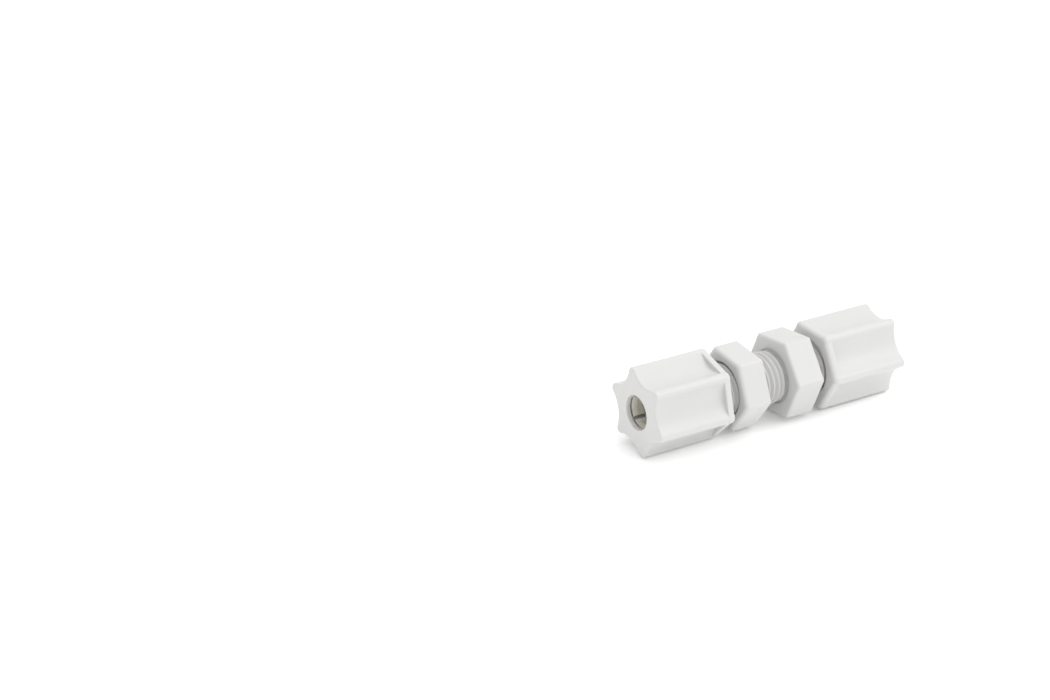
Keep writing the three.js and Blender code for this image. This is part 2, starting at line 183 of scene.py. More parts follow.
def hex_outline(flats, corner_round, turn, columns):
    """Points and outward steps of a hexagon with rounded corners, its first corner at the turn."""
    on_corner = columns // SIDES // 3
    on_flat = columns // SIDES - on_corner
    centre_radius = (flats / 2 - corner_round) / math.cos(SECTOR / 2)
    points = []
    for side in range(SIDES):
        corner = turn + side * SECTOR
        sweep = corner + np.linspace(-SECTOR / 2, SECTOR / 2, on_corner + 1)
        arc = centre_radius * directions(np.array([corner])) + corner_round * directions(sweep)
        following = centre_radius * directions(np.array([corner + SECTOR]))
        start_next = following + corner_round * directions(np.array([corner + SECTOR / 2]))
        along = np.linspace(0, 1, on_flat + 1)[1:-1, None]
        points += [arc, arc[-1] + along * (start_next - arc[-1])]
    points = np.concatenate(points)
    return from_first_column(points, points / (flats / 2))


def lobed_outline(crest, root, tip_round, columns):
    """Points and outward steps of the fluted nut's outline, its first lobe along +Y."""
    on_tip = columns // SIDES * 2 // 5
    on_flute = columns // SIDES - on_tip
    half = SECTOR / 2
    tip_centre = crest - tip_round
    across = tip_centre * math.cos(half)
    flute_round = (root ** 2 + tip_centre ** 2 - 2 * root * across - tip_round ** 2) / (
        2 * (across - root + tip_round))
    flute_centre = root + flute_round
    lean = math.atan2(flute_centre * math.sin(half), flute_centre * math.cos(half) - tip_centre)
    points, steps = [], []
    for lobe in range(SIDES):
        middle = lobe * SECTOR
        sweep = middle + np.linspace(-lean, lean, on_tip + 1)
        points.append(tip_centre * directions(np.array([middle])) + tip_round * directions(sweep))
        steps.append(directions(sweep))
        hollow = middle + half
        sweep = hollow + np.pi + (lean - half) * np.linspace(1, -1, on_flute + 1)[1:-1]
        points.append(flute_centre * directions(np.array([hollow])) + flute_round * directions(sweep))
        steps.append(-directions(sweep))
    return from_first_column(np.concatenate(points), np.concatenate(steps))


def outline_loop(x, outline, inset=0.0):
    """One loop of an outline at an axial place, stepped inwards by the inset."""
    points, steps = outline
    return np.column_stack([np.broadcast_to(x, len(points)), points - steps * inset])


def rounded_rim(outline, face, outwards, rounding):
    """Loops from an end face over its rounded edge onto the side. Outwards is the face's own direction."""
    loops = []
    for step in np.linspace(0, np.pi / 2, ARC_STEPS + 2):
        depth = rounding * (1 - math.cos(step))
        inset = rounding * (1 - math.sin(step))
        loops.append(outline_loop(face - outwards * depth, outline, inset))
    return loops


# %% [markdown]
# ## The thread
# A screw thread is one ridge wound round the stem. It could be made with a screw modifier, but the
# ends of the ridge and the plain parts beside it would then have to be patched by hand. Here the
# thread is a sheared skin instead: each column round the axis starts a little further along than the
# one before, so that the rows of the skin follow the helix and every crest is a clean, unbroken line
# of faces. At both ends the rows are pressed flat against the end of the thread, and the extra points
# merge away. The flanks stand at 60 degrees to each other, as on the real thread, and the mould
# leaves crest and root slightly round.

# %% Thread shape
TUBE_RADIUS = 3.175
STEM_WALL = 2.381
THREAD_RADIUS = TUBE_RADIUS + STEM_WALL
THREAD_DEPTH = 0.6134 * PITCH
THREAD_ROOT = THREAD_RADIUS - THREAD_DEPTH
FLANK_SLOPE = math.tan(math.radians(30))
CREST_HALF = PITCH / 16
RADIAL_CLEARANCE = 0.2
FLANK_CLEARANCE = 0.13
FLANK_SOFTNESS = 0.13
NUT_THREAD = THREAD_RADIUS + RADIAL_CLEARANCE
NUT_MINOR = THREAD_ROOT + RADIAL_CLEARANCE
ROWS_PER_TURN = 16


def soft_ramp(share):
    """0 before the flank, 1 after it, straight between, with both corners eased."""
    def eased(s):
        return np.sqrt(s ** 2 + FLANK_SOFTNESS ** 2)
    return np.clip((eased(share) - eased(share - 1) + 1) / 2, 0, 1)


def outer_thread(distance):
    """Radius of the stem's thread at an axial distance from the middle of its ridge."""
    share = (distance - CREST_HALF) / (THREAD_DEPTH * FLANK_SLOPE)
    return THREAD_RADIUS - THREAD_DEPTH * soft_ramp(share)


def inner_thread(distance):
    """Radius of a nut's thread at an axial distance from the middle of its ridge."""
    groove_half = CREST_HALF + FLANK_CLEARANCE + (THREAD_DEPTH - RADIAL_CLEARANCE) * FLANK_SLOPE
    narrow = PITCH / 2 - groove_half
    share = (distance - narrow) / ((NUT_THREAD - NUT_MINOR) * FLANK_SLOPE)
    return NUT_MINOR + (NUT_THREAD - NUT_MINOR) * soft_ramp(share)


def thread_skin(start, stop, radius_at, phase, columns, plain, lead):
    """A helical skin between two axial places, whose ridge starts from the plain radius at both ends."""
    step = PITCH / ROWS_PER_TURN
    rows = math.ceil((stop - start + PITCH) / step) + 1
    turn = np.linspace(0, 1, columns + 1)
    x = start - PITCH + step * np.arange(rows)[:, None] + PITCH * turn
    x = np.clip(x, start, stop)
    cycle = (x - phase) / PITCH - turn
    distance = PITCH * np.abs(cycle - np.round(cycle))
    height = radius_at(distance) - plain
    room = lead * np.minimum(x - start, stop - x)
    radius = plain + np.sign(height) * np.minimum(np.abs(height), room)
    angle = 2 * np.pi * turn
    return np.stack([x, radius * np.cos(angle), radius * np.sin(angle)], 2)


print("thread", round(2 * THREAD_RADIUS, 2), "mm over its crests, root", round(2 * THREAD_ROOT, 2))

# %% [markdown]
# ## From skins to a piece
# A piece is several skins that share their edge loops. They are put into one mesh, the shared loops
# are welded, and the faces are turned to point outwards. A closed piece has exactly two faces at each
# edge, and the code says so, because a gap would show up as a dark seam and spoil the part for
# anybody who wants to print it. Weighted normals then keep the large flats flat right up to their
# rounded edges.

# %% Welding skins into a piece
WELD = 0.0004


def add_piece(name, skins, body, replaced):
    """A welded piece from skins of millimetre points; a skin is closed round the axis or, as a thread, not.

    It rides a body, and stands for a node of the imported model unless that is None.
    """
    vertices, faces, first = [], [], 0
    for points, closed in skins:
        rows, columns = points.shape[:2]
        vertices.append(points.reshape(-1, 3))
        faces.append(skin_faces(rows, columns, closed) + first)
        first += rows * columns
    mesh = bpy.data.meshes.new(name)
    mesh.from_pydata((np.concatenate(vertices) * MM).tolist(), [], np.concatenate(faces).tolist())
    work = bmesh.new()
    work.from_mesh(mesh)
    bmesh.ops.remove_doubles(work, verts=work.verts, dist=WELD * MM)
    bmesh.ops.recalc_face_normals(work, faces=work.faces)
    open_edges = sum(len(edge.link_faces) != 2 for edge in work.edges)
    work.to_mesh(mesh)
    work.free()
    mesh.shade_smooth()
    piece = bpy.data.objects.new(name, mesh)
    bpy.context.scene.collection.objects.link(piece)
    even = piece.modifiers.new("even_flats", "WEIGHTED_NORMAL")
    even.weight = 60
    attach(piece, body)
    if replaced:
        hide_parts(replaced)
    print(name, len(mesh.polygons), "faces, open edges:", open_edges)
    return piece


def closed(loops):
    return np.array(loops), True


def helical(points):
    return points, False


# %% [markdown]
# ## The tube's way in
# Inside each end of the body a cone seat takes the sealing sleeve, and a plain socket runs down to
# the stop that the tube's end rests on. Nobody sees much of it, but a look down the open mouth shows
# rings of light and dark, and they should be the right ones.

# %% Bore of one end
TUBE_CLEARANCE = 0.125
SOCKET_RADIUS = TUBE_RADIUS + TUBE_CLEARANCE
THROUGH_RADIUS = TUBE_RADIUS - 0.775
SOCKET_DEPTH = 9.5
SEAT_DEPTH = 3.2
SEAT_MOUTH_WALL = 0.48
SEAT_MOUTH = THREAD_ROOT - SEAT_MOUTH_WALL
STEM_CHAMFER = 0.4
STOP_STRIP = 0.8
THREAD_START = 0.45
BODY_COLUMNS = 144


def stem_end():
    """Loops from the thread's start over the stem's end face, down the socket to the through bore."""
    tip = THREAD_ROOT - STEM_CHAMFER / 2
    path = rounded_path([
        (-THREAD_START, THREAD_ROOT),
        (-STEM_CHAMFER, THREAD_ROOT, 0.1),
        (0, tip, 0.12),
        (0, SEAT_MOUTH, 0.1),
        (-SEAT_DEPTH, SOCKET_RADIUS, 0.3),
        (-SOCKET_DEPTH, SOCKET_RADIUS, 0.25),
        (-SOCKET_DEPTH, THROUGH_RADIUS, 0.15),
        (-SOCKET_DEPTH - STOP_STRIP, THROUGH_RADIUS),
    ])
    return turned_skin(path, BODY_COLUMNS)


# %% [markdown]
# ## The union body
# One moulding: two threaded stems, a hex flange right of the middle, and a plain neck on the flange's
# right side. The long left thread carries the panel nut. Its last turn fades into a shallow relief
# round the stem, so a panel can lie flat on the flange. The flange's edges are only lightly rounded
# on the real mould, a bit more on the left than on the right.

# %% Union body
FLANGE_THICKNESS = 6.5
FLANGE_RIGHT = 9.55
FLANGE_LEFT = FLANGE_RIGHT - FLANGE_THICKNESS
FLANGE_FLATS = 2 * (NUT_THREAD + 2.344)
FLANGE_TURN = math.radians(53.8)
HEX_CORNER = 0.6
FLANGE_LEFT_EDGE = 0.55
FLANGE_RIGHT_EDGE = 0.3
RELIEF_DEPTH = 0.3
RUN_OUT_GAP = 0.2
NECK_RADIUS = THREAD_RADIUS - 0.06
NUT_NOSE = 8.7
NUT_LENGTH = 18.2
NUT_FACE = NUT_NOSE - NUT_LENGTH
NECK_END = NUT_FACE - 0.3
LEAD = 1.2

left_end, right_end = end_frame("left"), end_frame("right")
flange_outline = hex_outline(FLANGE_FLATS, HEX_CORNER, FLANGE_TURN, BODY_COLUMNS)
run_out = BODY_END + FLANGE_LEFT - RUN_OUT_GAP
left_thread = thread_skin(-run_out, -THREAD_START, outer_thread, 0, BODY_COLUMNS, THREAD_ROOT, LEAD)
right_thread = thread_skin(NECK_END, -THREAD_START, outer_thread, 0, BODY_COLUMNS, THREAD_ROOT, LEAD)

relief = rounded_path([
    (FLANGE_LEFT - RUN_OUT_GAP, THREAD_ROOT),
    (FLANGE_LEFT + RELIEF_DEPTH, THREAD_ROOT, 0.15),
    (FLANGE_LEFT + RELIEF_DEPTH, NUT_THREAD, 0.12),
    (FLANGE_LEFT, NUT_THREAD, 0.1),
    (FLANGE_LEFT, NUT_THREAD + 0.4),
])
neck = rounded_path([
    (FLANGE_RIGHT, NECK_RADIUS + 0.6),
    (FLANGE_RIGHT, NECK_RADIUS, 0.3),
    (BODY_END + NECK_END - PITCH / 2, NECK_RADIUS, 0.2),
    (BODY_END + NECK_END, THREAD_ROOT),
])
flange = [
    turned_skin(relief, BODY_COLUMNS)[-1],
    outline_loop(FLANGE_LEFT, flange_outline, FLANGE_LEFT_EDGE + FACE_SUPPORT),
    *rounded_rim(flange_outline, FLANGE_LEFT, -1, FLANGE_LEFT_EDGE),
    outline_loop(FLANGE_LEFT + FLANGE_LEFT_EDGE + SUPPORT, flange_outline),
    outline_loop((FLANGE_LEFT + FLANGE_RIGHT) / 2, flange_outline),
    outline_loop(FLANGE_RIGHT - FLANGE_RIGHT_EDGE - SUPPORT, flange_outline),
    *reversed(rounded_rim(flange_outline, FLANGE_RIGHT, 1, FLANGE_RIGHT_EDGE)),
    outline_loop(FLANGE_RIGHT, flange_outline, FLANGE_RIGHT_EDGE + FACE_SUPPORT),
    turned_skin(neck, BODY_COLUMNS)[0],
]
bore_half = BODY_END - SOCKET_DEPTH - STOP_STRIP
bore = turned_skin([(-bore_half, THROUGH_RADIUS), (bore_half, THROUGH_RADIUS)], BODY_COLUMNS)
union_body = add_piece("union_body_moulding", [
    closed(moved(stem_end(), left_end)),
    helical(moved(left_thread, left_end)),
    closed(turned_skin(relief, BODY_COLUMNS)),
    closed(flange),
    closed(turned_skin(neck, BODY_COLUMNS)),
    helical(moved(right_thread, right_end)),
    closed(moved(stem_end(), right_end)),
    closed(bore),
], "union_body", "union_body")

# %% [markdown]
# ## The gate mark
# The mould was filled through one of the flange's lower flats, and the cut gate leaves a low round
# rim there with a shallow dish inside it. The mark could be cut into the flat, but it is so small that
# a turned skin of its own, set a little into the flat, gives the same look with far fewer faces.

# %% Gate mark
GATE_COLUMNS = 32
GATE_X = 6.5
GATE_OFF_MIDDLE = -0.43
GATE_FLAT = FLANGE_TURN + 2.5 * SECTOR
GATE_SINK = 0.3
GATE_RADIUS = 0.62
GATE_RIM_HEIGHT = 0.035
GATE_DISH_HEIGHT = 0.004
GATE_DISH_RADIUS = 0.34
CENTRE = 0.0001
gate_profile = rounded_path([
    (-GATE_SINK, GATE_RADIUS),
    (0.0, GATE_RADIUS, 0.02),
    (GATE_RIM_HEIGHT, GATE_RADIUS - 0.1, 0.03),
    (GATE_RIM_HEIGHT, GATE_DISH_RADIUS + 0.1, 0.03),
    (GATE_DISH_HEIGHT, GATE_DISH_RADIUS, 0.03),
    (GATE_DISH_HEIGHT, CENTRE),
])
gate_frame = Matrix.Translation((GATE_X, 0, 0)) @ Matrix.Rotation(GATE_FLAT, 4, "X")
gate_frame = gate_frame @ Matrix.Translation((0, FLANGE_FLATS / 2, GATE_OFF_MIDDLE))
gate_frame = gate_frame @ Matrix.Rotation(math.pi / 2, 4, "Z")
gate_mark = add_piece("flange_gate_mark", [
    closed(moved(turned_skin([(-GATE_SINK, CENTRE), *gate_profile], GATE_COLUMNS), gate_frame)),
], "union_body", None)

# %% [markdown]
# ## The panel nut
# A plain hex nut. Its left face has the generous rounding that the mould's parting side gets, and its
# right face, which clamps the panel, is nearly sharp.

# %% Panel nut
PANEL_NUT_THICKNESS = 6.1
PANEL_NUT_OUTER = NUT_FACE - 2.8
PANEL_NUT_INNER = PANEL_NUT_OUTER - PANEL_NUT_THICKNESS
PANEL_NUT_FLATS = 2 * (NUT_THREAD + 1.994)
PANEL_NUT_OUTER_EDGE = 0.85
PANEL_NUT_INNER_EDGE = 0.32
THREAD_MOUTH = 0.35


def thread_mouth(face, outwards, columns, reach=0.5):
    """Loops from the thread of a nut out over its chamfered mouth onto the face."""
    return turned_skin(rounded_path([
        (face - outwards * (THREAD_MOUTH + 0.1), NUT_THREAD),
        (face - outwards * THREAD_MOUTH, NUT_THREAD, 0.08),
        (face, NUT_THREAD + THREAD_MOUTH, 0.1),
        (face, NUT_THREAD + THREAD_MOUTH + reach),
    ]), columns)


panel_outline = hex_outline(PANEL_NUT_FLATS, HEX_CORNER, 0, BODY_COLUMNS)
outer_mouth = thread_mouth(PANEL_NUT_OUTER, 1, BODY_COLUMNS, 0.1)
inner_mouth = thread_mouth(PANEL_NUT_INNER, -1, BODY_COLUMNS, 0.3)
panel_thread = thread_skin(PANEL_NUT_INNER + THREAD_MOUTH + 0.1, PANEL_NUT_OUTER - THREAD_MOUTH - 0.1,
                           inner_thread, PITCH / 2, BODY_COLUMNS, NUT_THREAD, LEAD)
panel_sides = [
    outer_mouth[-1],
    outline_loop(PANEL_NUT_OUTER, panel_outline, PANEL_NUT_OUTER_EDGE + SUPPORT),
    *rounded_rim(panel_outline, PANEL_NUT_OUTER, 1, PANEL_NUT_OUTER_EDGE),
    outline_loop(PANEL_NUT_OUTER - PANEL_NUT_OUTER_EDGE - SUPPORT, panel_outline),
    outline_loop((PANEL_NUT_OUTER + PANEL_NUT_INNER) / 2, panel_outline),
    outline_loop(PANEL_NUT_INNER + PANEL_NUT_INNER_EDGE + SUPPORT, panel_outline),
    *reversed(rounded_rim(panel_outline, PANEL_NUT_INNER, -1, PANEL_NUT_INNER_EDGE)),
    outline_loop(PANEL_NUT_INNER, panel_outline, PANEL_NUT_INNER_EDGE + FACE_SUPPORT),
    inner_mouth[-1],
]
panel_frame = end_frame("left", PANEL_NUT_TURN)
panel_nut = add_piece("panel_nut_moulding", [
    closed(moved(outer_mouth, panel_frame)),
    closed(moved(np.array(panel_sides), panel_frame)),
    closed(moved(inner_mouth, panel_frame)),
    helical(moved(panel_thread, panel_frame)),
], "panel_nut", "panel_nut")

# %% [markdown]
# ## The compression nuts
# Each nut has six rounded lobes for the fingers, hollow flutes between them that end in an upright
# wall, and a hex collar behind that wall. Where a lobe meets a corner of the collar the two flow into
# one. Cutting the flutes with booleans would leave sharp feet, but moulded plastic always has a small
# round there. So the outline changes from flute to collar column by column: each column climbs its
# own wall with a round foot and a round brow, both as large as the wall leaves room for.

# %% Outside of a compression nut
NUT_COLUMNS = 240
NUT_WALL = 1.244
FLUTE_DEPTH = 2.45
FLUTE_ROOT = NUT_THREAD + NUT_WALL
LOBE_CREST = FLUTE_ROOT + FLUTE_DEPTH
LOBE_TIP = 1.1
LOBE_SHY = 0.05
COLLAR_THICKNESS = 1.7
COLLAR_FLATS = 2 * (FLUTE_ROOT + 1.15)
NOSE_EDGE = 0.4
COLLAR_EDGE = 0.85
COLLAR_CORNER = 0.7
WALL_FOOT = 0.32
WALL_BROW = 0.3
LEAST_WALL = 0.012
NUT_SUPPORT = 0.15
BARREL_LOOPS = 6


def hex_radius(angles, flats, corner_round):
    """Distance from the axis to a rounded hexagon with a corner along +Y, at each angle."""
    off_corner = np.abs((angles + SECTOR / 2) % SECTOR - SECTOR / 2)
    flat = flats / 2 / np.cos(SECTOR / 2 - off_corner)
    centre = (flats / 2 - corner_round) / math.cos(SECTOR / 2)
    reach = corner_round ** 2 - (centre * np.sin(off_corner)) ** 2
    corner = centre * np.cos(off_corner) + np.sqrt(np.maximum(reach, 0))
    on_corner = centre * np.sin(off_corner) < corner_round * math.sin(SECTOR / 2)
    return np.where((reach > 0) & on_corner, np.minimum(corner, flat), flat)


def compression_nut_outside():
    """Loops from the nose face, along the fluted barrel, up the flute ends, and over the collar."""
    barrel = lobed_outline(LOBE_CREST - LOBE_SHY, FLUTE_ROOT, LOBE_TIP, NUT_COLUMNS)
    reach = np.linalg.norm(barrel[0], axis=1)
    angles = np.arctan2(barrel[0][:, 1], barrel[0][:, 0])
    outwards = barrel[0] / reach[:, None]
    collar_reach = np.maximum(hex_radius(angles, COLLAR_FLATS, COLLAR_CORNER), reach + LEAST_WALL)
    collar_points = outwards * collar_reach[:, None]
    collar = (collar_points, collar_points / (COLLAR_FLATS / 2))
    wall = collar_reach - reach
    foot = np.minimum(WALL_FOOT, 0.45 * wall)
    brow = np.minimum(WALL_BROW, 0.45 * wall)
    wall_at = NUT_FACE + COLLAR_THICKNESS

    def climbing(x, radius):
        return np.column_stack([np.broadcast_to(x, len(radius)), outwards * radius[:, None]])

    loops = [
        outline_loop(NUT_NOSE, barrel, NOSE_EDGE + NUT_SUPPORT),
        *rounded_rim(barrel, NUT_NOSE, 1, NOSE_EDGE),
        outline_loop(NUT_NOSE - NOSE_EDGE - SUPPORT, barrel),
        *[outline_loop(x, barrel) for x in np.linspace(NUT_NOSE - 2, wall_at + 2, BARREL_LOOPS)],
        outline_loop(wall_at + WALL_FOOT + SUPPORT, barrel),
    ]
    for s in np.linspace(0, np.pi / 2, ARC_STEPS + 2):
        loops.append(climbing(wall_at + foot * (1 - math.sin(s)), reach + foot * (1 - math.cos(s))))
    for s in np.linspace(0, np.pi / 2, ARC_STEPS + 2):
        loops.append(climbing(wall_at - brow * (1 - math.cos(s)), collar_reach - brow * (1 - math.sin(s))))
    loops += [
        outline_loop(wall_at - WALL_BROW - 0.08, collar),
        outline_loop(NUT_FACE + COLLAR_EDGE + 0.1, collar),
        *reversed(rounded_rim(collar, NUT_FACE, -1, COLLAR_EDGE)),
        outline_loop(NUT_FACE, collar, COLLAR_EDGE + NUT_SUPPORT),
    ]
    return loops


# %% [markdown]
# ## Inside a compression nut
# The tube goes in through a slightly tapered mouth. Behind its thin lip the bore opens into a cone
# that wedges the gripper onto the tube, and then into the thread.

# %% Inside of a compression nut, and both nuts
LIP = 1.05
LIP_START = NUT_NOSE - LIP
MOUTH_RADIUS = TUBE_RADIUS + 0.525
THROAT_RADIUS = TUBE_RADIUS + 0.225
CONTACT_GAP = 0.3
SLEEVE_RIM = 0.75
SPACER_THICKNESS = 0.7
GRIP_RADIUS = TUBE_RADIUS + TUBE_CLEARANCE / 2
GRIP_TOOTH = 0.25
RING_CLEARANCE = 0.25
CONE_WIDE = THREAD_ROOT + 0.123
CONE_NARROW = GRIP_RADIUS + GRIP_TOOTH + 0.3625 + RING_CLEARANCE
SPACER_START = SLEEVE_RIM + 2 * CONTACT_GAP
GRIPPER_START = SPACER_START + SPACER_THICKNESS + CONTACT_GAP
THREAD_STOP = SPACER_START - (NUT_THREAD - CONE_WIDE) / 2


def compression_nut_skins(place):
    outside = compression_nut_outside()
    mouth = turned_skin(rounded_path([
        (NUT_NOSE, MOUTH_RADIUS + 0.35),
        (NUT_NOSE, MOUTH_RADIUS, 0.12),
        (LIP_START, THROAT_RADIUS, 0.3),
        (LIP_START, CONE_NARROW, 0.15),
        (SPACER_START, CONE_WIDE, 0.3),
        (THREAD_STOP, NUT_THREAD, 0.15),
        (THREAD_STOP - 0.3, NUT_THREAD),
    ]), NUT_COLUMNS)
    collar_mouth = thread_mouth(NUT_FACE, -1, NUT_COLUMNS, 0.25)
    thread = thread_skin(NUT_FACE + THREAD_MOUTH + 0.1, THREAD_STOP - 0.3, inner_thread, PITCH / 2,
                         NUT_COLUMNS, NUT_THREAD, LEAD)
    parts = [
        closed([mouth[0], *outside, collar_mouth[-1]]),
        closed(mouth),
        closed(collar_mouth),
        helical(thread),
    ]
    return [(moved(points, place), wrapped) for points, wrapped in parts]


nuts = {
    side: add_piece(f"{side}_nut_moulding", compression_nut_skins(end_frame(side, turn)),
                    f"{side}_nut", f"{side}_compression_nut")
    for side, turn in NUT_TURNS.items()
}

# %% [markdown]
# ## The rings that hold and seal the tube
# A sleeve with a cone nose seals between tube and body, a thrust washer lets the nut turn without
# twisting it, and a split gripper with saw teeth bites the tube. All three are closed sections spun
# round the axis. The spacer and the sleeve are plain rings, and a screw or spin modifier would make
# them too, but the same skins as before need no new helper.

# %% Spacers and sleeves
RING_COLUMNS = 96
SLEEVE_NOSE = 2.0


def ring_skin(corners):
    """A closed ring from the rounded corners of its section."""
    middle = ((corners[0][0] + corners[-1][0]) / 2, (corners[0][1] + corners[-1][1]) / 2)
    return turned_skin(rounded_path([middle, *corners, middle]), RING_COLUMNS)


def spacer_ring():
    outer = CONE_WIDE - RING_CLEARANCE
    return ring_skin([
        (SPACER_START, SOCKET_RADIUS, 0.12),
        (SPACER_START, outer, 0.15),
        (SPACER_START + SPACER_THICKNESS, outer, 0.15),
        (SPACER_START + SPACER_THICKNESS, SOCKET_RADIUS, 0.12),
    ])


def sleeve_ring():
    slope = (SEAT_MOUTH - SOCKET_RADIUS) / SEAT_DEPTH
    nose = SEAT_MOUTH - SLEEVE_NOSE * slope - RING_CLEARANCE
    throat = SEAT_MOUTH - RING_CLEARANCE
    rim = THREAD_ROOT - RING_CLEARANCE
    rim_end = CONTACT_GAP + SLEEVE_RIM
    return ring_skin([
        (-SLEEVE_NOSE, GRIP_RADIUS, 0.08),
        (-SLEEVE_NOSE, nose, 0.15),
        (0, throat, 0.1),
        (CONTACT_GAP, throat, 0.06),
        (CONTACT_GAP, rim, 0.12),
        (rim_end, rim, 0.15),
        (rim_end, GRIP_RADIUS, 0.15),
    ])


SLEEVE_BODIES = {"left": "left_seal", "right": "union_body"}
spacers, sleeves = {}, {}
for side in NUT_TURNS:
    place = end_frame(side)
    spacers[side] = add_piece(f"{side}_spacer_ring", [closed(moved(spacer_ring(), place))],
                              f"{side}_grip", f"{side}_spacer")
    sleeves[side] = add_piece(f"{side}_sleeve_ring", [closed(moved(sleeve_ring(), place))],
                              SLEEVE_BODIES[side], f"{side}_sleeve")

# %% [markdown]
# ## The grippers
# The gripper is the piece that a look down the mouth shows: a cone outside, saw teeth inside, and
# four slots that let it close on the tube. Its teeth are corners of the turned profile, and the slots
# are true cuts, made with booleans on the finished ring because they cross the teeth and the cone at
# once: one goes right through and three stop part of the way.

# %% Grippers
GRIPPER_LENGTH = 5.0
GRIP_TEETH = 4
TOOTH_EDGE = 0.06
GRIP_SLOTS = 4
SLOT_WIDTH = 0.8
SLOT_SHARE = 0.65


def cone_radius(x):
    share = (x - SPACER_START) / (LIP_START - SPACER_START)
    return CONE_WIDE + share * (CONE_NARROW - CONE_WIDE)


def gripper_ring():
    start, stop = GRIPPER_START, GRIPPER_START + GRIPPER_LENGTH
    tooth_length = GRIPPER_LENGTH / GRIP_TEETH
    corners = [
        (start, cone_radius(start) - RING_CLEARANCE, 0.2),
        (stop, cone_radius(stop) - RING_CLEARANCE, 0.15),
    ]
    for tooth in range(GRIP_TEETH, 0, -1):
        corners.append((start + tooth * tooth_length - TOOTH_EDGE, GRIP_RADIUS + GRIP_TOOTH, 0.05))
        corners.append((start + (tooth - 1) * tooth_length + TOOTH_EDGE, GRIP_RADIUS, 0.04))
    return ring_skin([*corners, (start, GRIP_RADIUS + TOOTH_EDGE, 0.03)])


def slot_cutter(slot, place):
    """A block that cuts one slot: the first goes right through, the others stop part way."""
    stop = GRIPPER_START + GRIPPER_LENGTH
    length = GRIPPER_LENGTH + 2 * CONTACT_GAP if slot == 0 else GRIPPER_LENGTH * SLOT_SHARE
    block = bmesh.new()
    bmesh.ops.create_cube(block, size=1)
    size = Matrix.Diagonal((length, CONE_WIDE, SLOT_WIDTH, 1))
    outwards = Matrix.Translation((stop + CONTACT_GAP - length / 2, CONE_WIDE / 2 + SLOT_WIDTH, 0))
    turn = Matrix.Rotation(2 * math.pi * (slot + 0.5) / GRIP_SLOTS, 4, "X")
    block.transform(Matrix.Scale(MM, 4) @ place @ turn @ outwards @ size)
    mesh = bpy.data.meshes.new("slot_cutter")
    block.to_mesh(mesh)
    block.free()
    cutter = bpy.data.objects.new("slot_cutter", mesh)
    bpy.context.scene.collection.objects.link(cutter)
    return cutter


def apply_modifiers(piece):
    """Keeps the shape that the modifiers give, so that no helper object is needed afterwards."""
    bpy.context.view_layer.update()
    shaped = bpy.data.meshes.new_from_object(piece.evaluated_get(bpy.context.evaluated_depsgraph_get()))
    piece.modifiers.clear()
    piece.data = shaped


grippers = {}
for side in NUT_TURNS:
    place = end_frame(side)
    gripper = add_piece(f"{side}_gripper_ring", [closed(moved(gripper_ring(), place))],
                        f"{side}_grip", f"{side}_gripper")
    gripper.modifiers.clear()
    cutters = [slot_cutter(slot, place) for slot in range(GRIP_SLOTS)]
    for cutter in cutters:
        cut = gripper.modifiers.new("slot", "BOOLEAN")
        cut.operation, cut.solver, cut.object = "DIFFERENCE", "EXACT", cutter
    apply_modifiers(gripper)
    for cutter in cutters:
        bpy.data.objects.remove(cutter)
    gripper.data.shade_smooth()
    gripper.data.set_sharp_from_angle(angle=math.radians(35))
    grippers[side] = gripper
    print(gripper.name, "after its slots:", len(gripper.data.polygons), "faces")

# %% [markdown]
# ## The plastic
# Natural polypropylene is a slightly warm white, satin rather than glossy, and light enters it a
# little before it comes back, which softens the shade inside the flutes. Up close the moulded skin
# has a very fine grain and faint wide clouds where the melt cooled unevenly. Narrow gaps and
# corners also get a little painted warm shade in their colour.
#
# The grain and clouds serve every plastic here, so they are one shader node group with its own
# inputs; the painted shade of the crevices is another. A painted texture would need an unwrapped
# mesh, while noise in object space costs nothing and never shows a seam.

# %% Node helpers
def add_node(tree, kind, place, **settings):
    node = tree.nodes.new(kind)
    node.location = place
    for name, value in settings.items():
        setattr(node, name, value)
    return node


def new_group(name, inputs, outputs):
    """A shader node group with named sockets; inputs are (name, type, value), outputs (name, type)."""
    group = bpy.data.node_groups.new(name, "ShaderNodeTree")
    for socket_name, kind, value in inputs:
        socket = group.interface.new_socket(socket_name, in_out="INPUT", socket_type=kind)
        socket.default_value = value
    for socket_name, kind in outputs:
        group.interface.new_socket(socket_name, in_out="OUTPUT", socket_type=kind)
    start = add_node(group, "NodeGroupInput", (-900, 0))
    end = add_node(group, "NodeGroupOutput", (500, 0))
    return group, start, end


def math_node(tree, operation, place, first, second):
    """A math node; each operand is a number or another node's output socket."""
    node = add_node(tree, "ShaderNodeMath", place, operation=operation)
    for socket, value in zip(node.inputs, (first, second)):
        if isinstance(value, (int, float)):
            socket.default_value = value
        else:
            tree.links.new(value, socket)
    return node.outputs[0]


# %% Moulded skin group
COLOUR, NUMBER = "NodeSocketColor", "NodeSocketFloat"


def noise(tree, place, vector, scale, detail, roughness):
    node = add_node(tree, "ShaderNodeTexNoise", place)
    node.inputs["Detail"].default_value = detail
    node.inputs["Roughness"].default_value = roughness
    tree.links.new(vector, node.inputs["Vector"])
    if isinstance(scale, (int, float)):
        node.inputs["Scale"].default_value = scale
    else:
        tree.links.new(scale, node.inputs["Scale"])
    return node.outputs[0]


CLOUD_SCALE = 95.0
SWIRL_SCALE = 420.0
SPECKLE_SHARE = 0.10
SWIRL_HEIGHT = 1.6


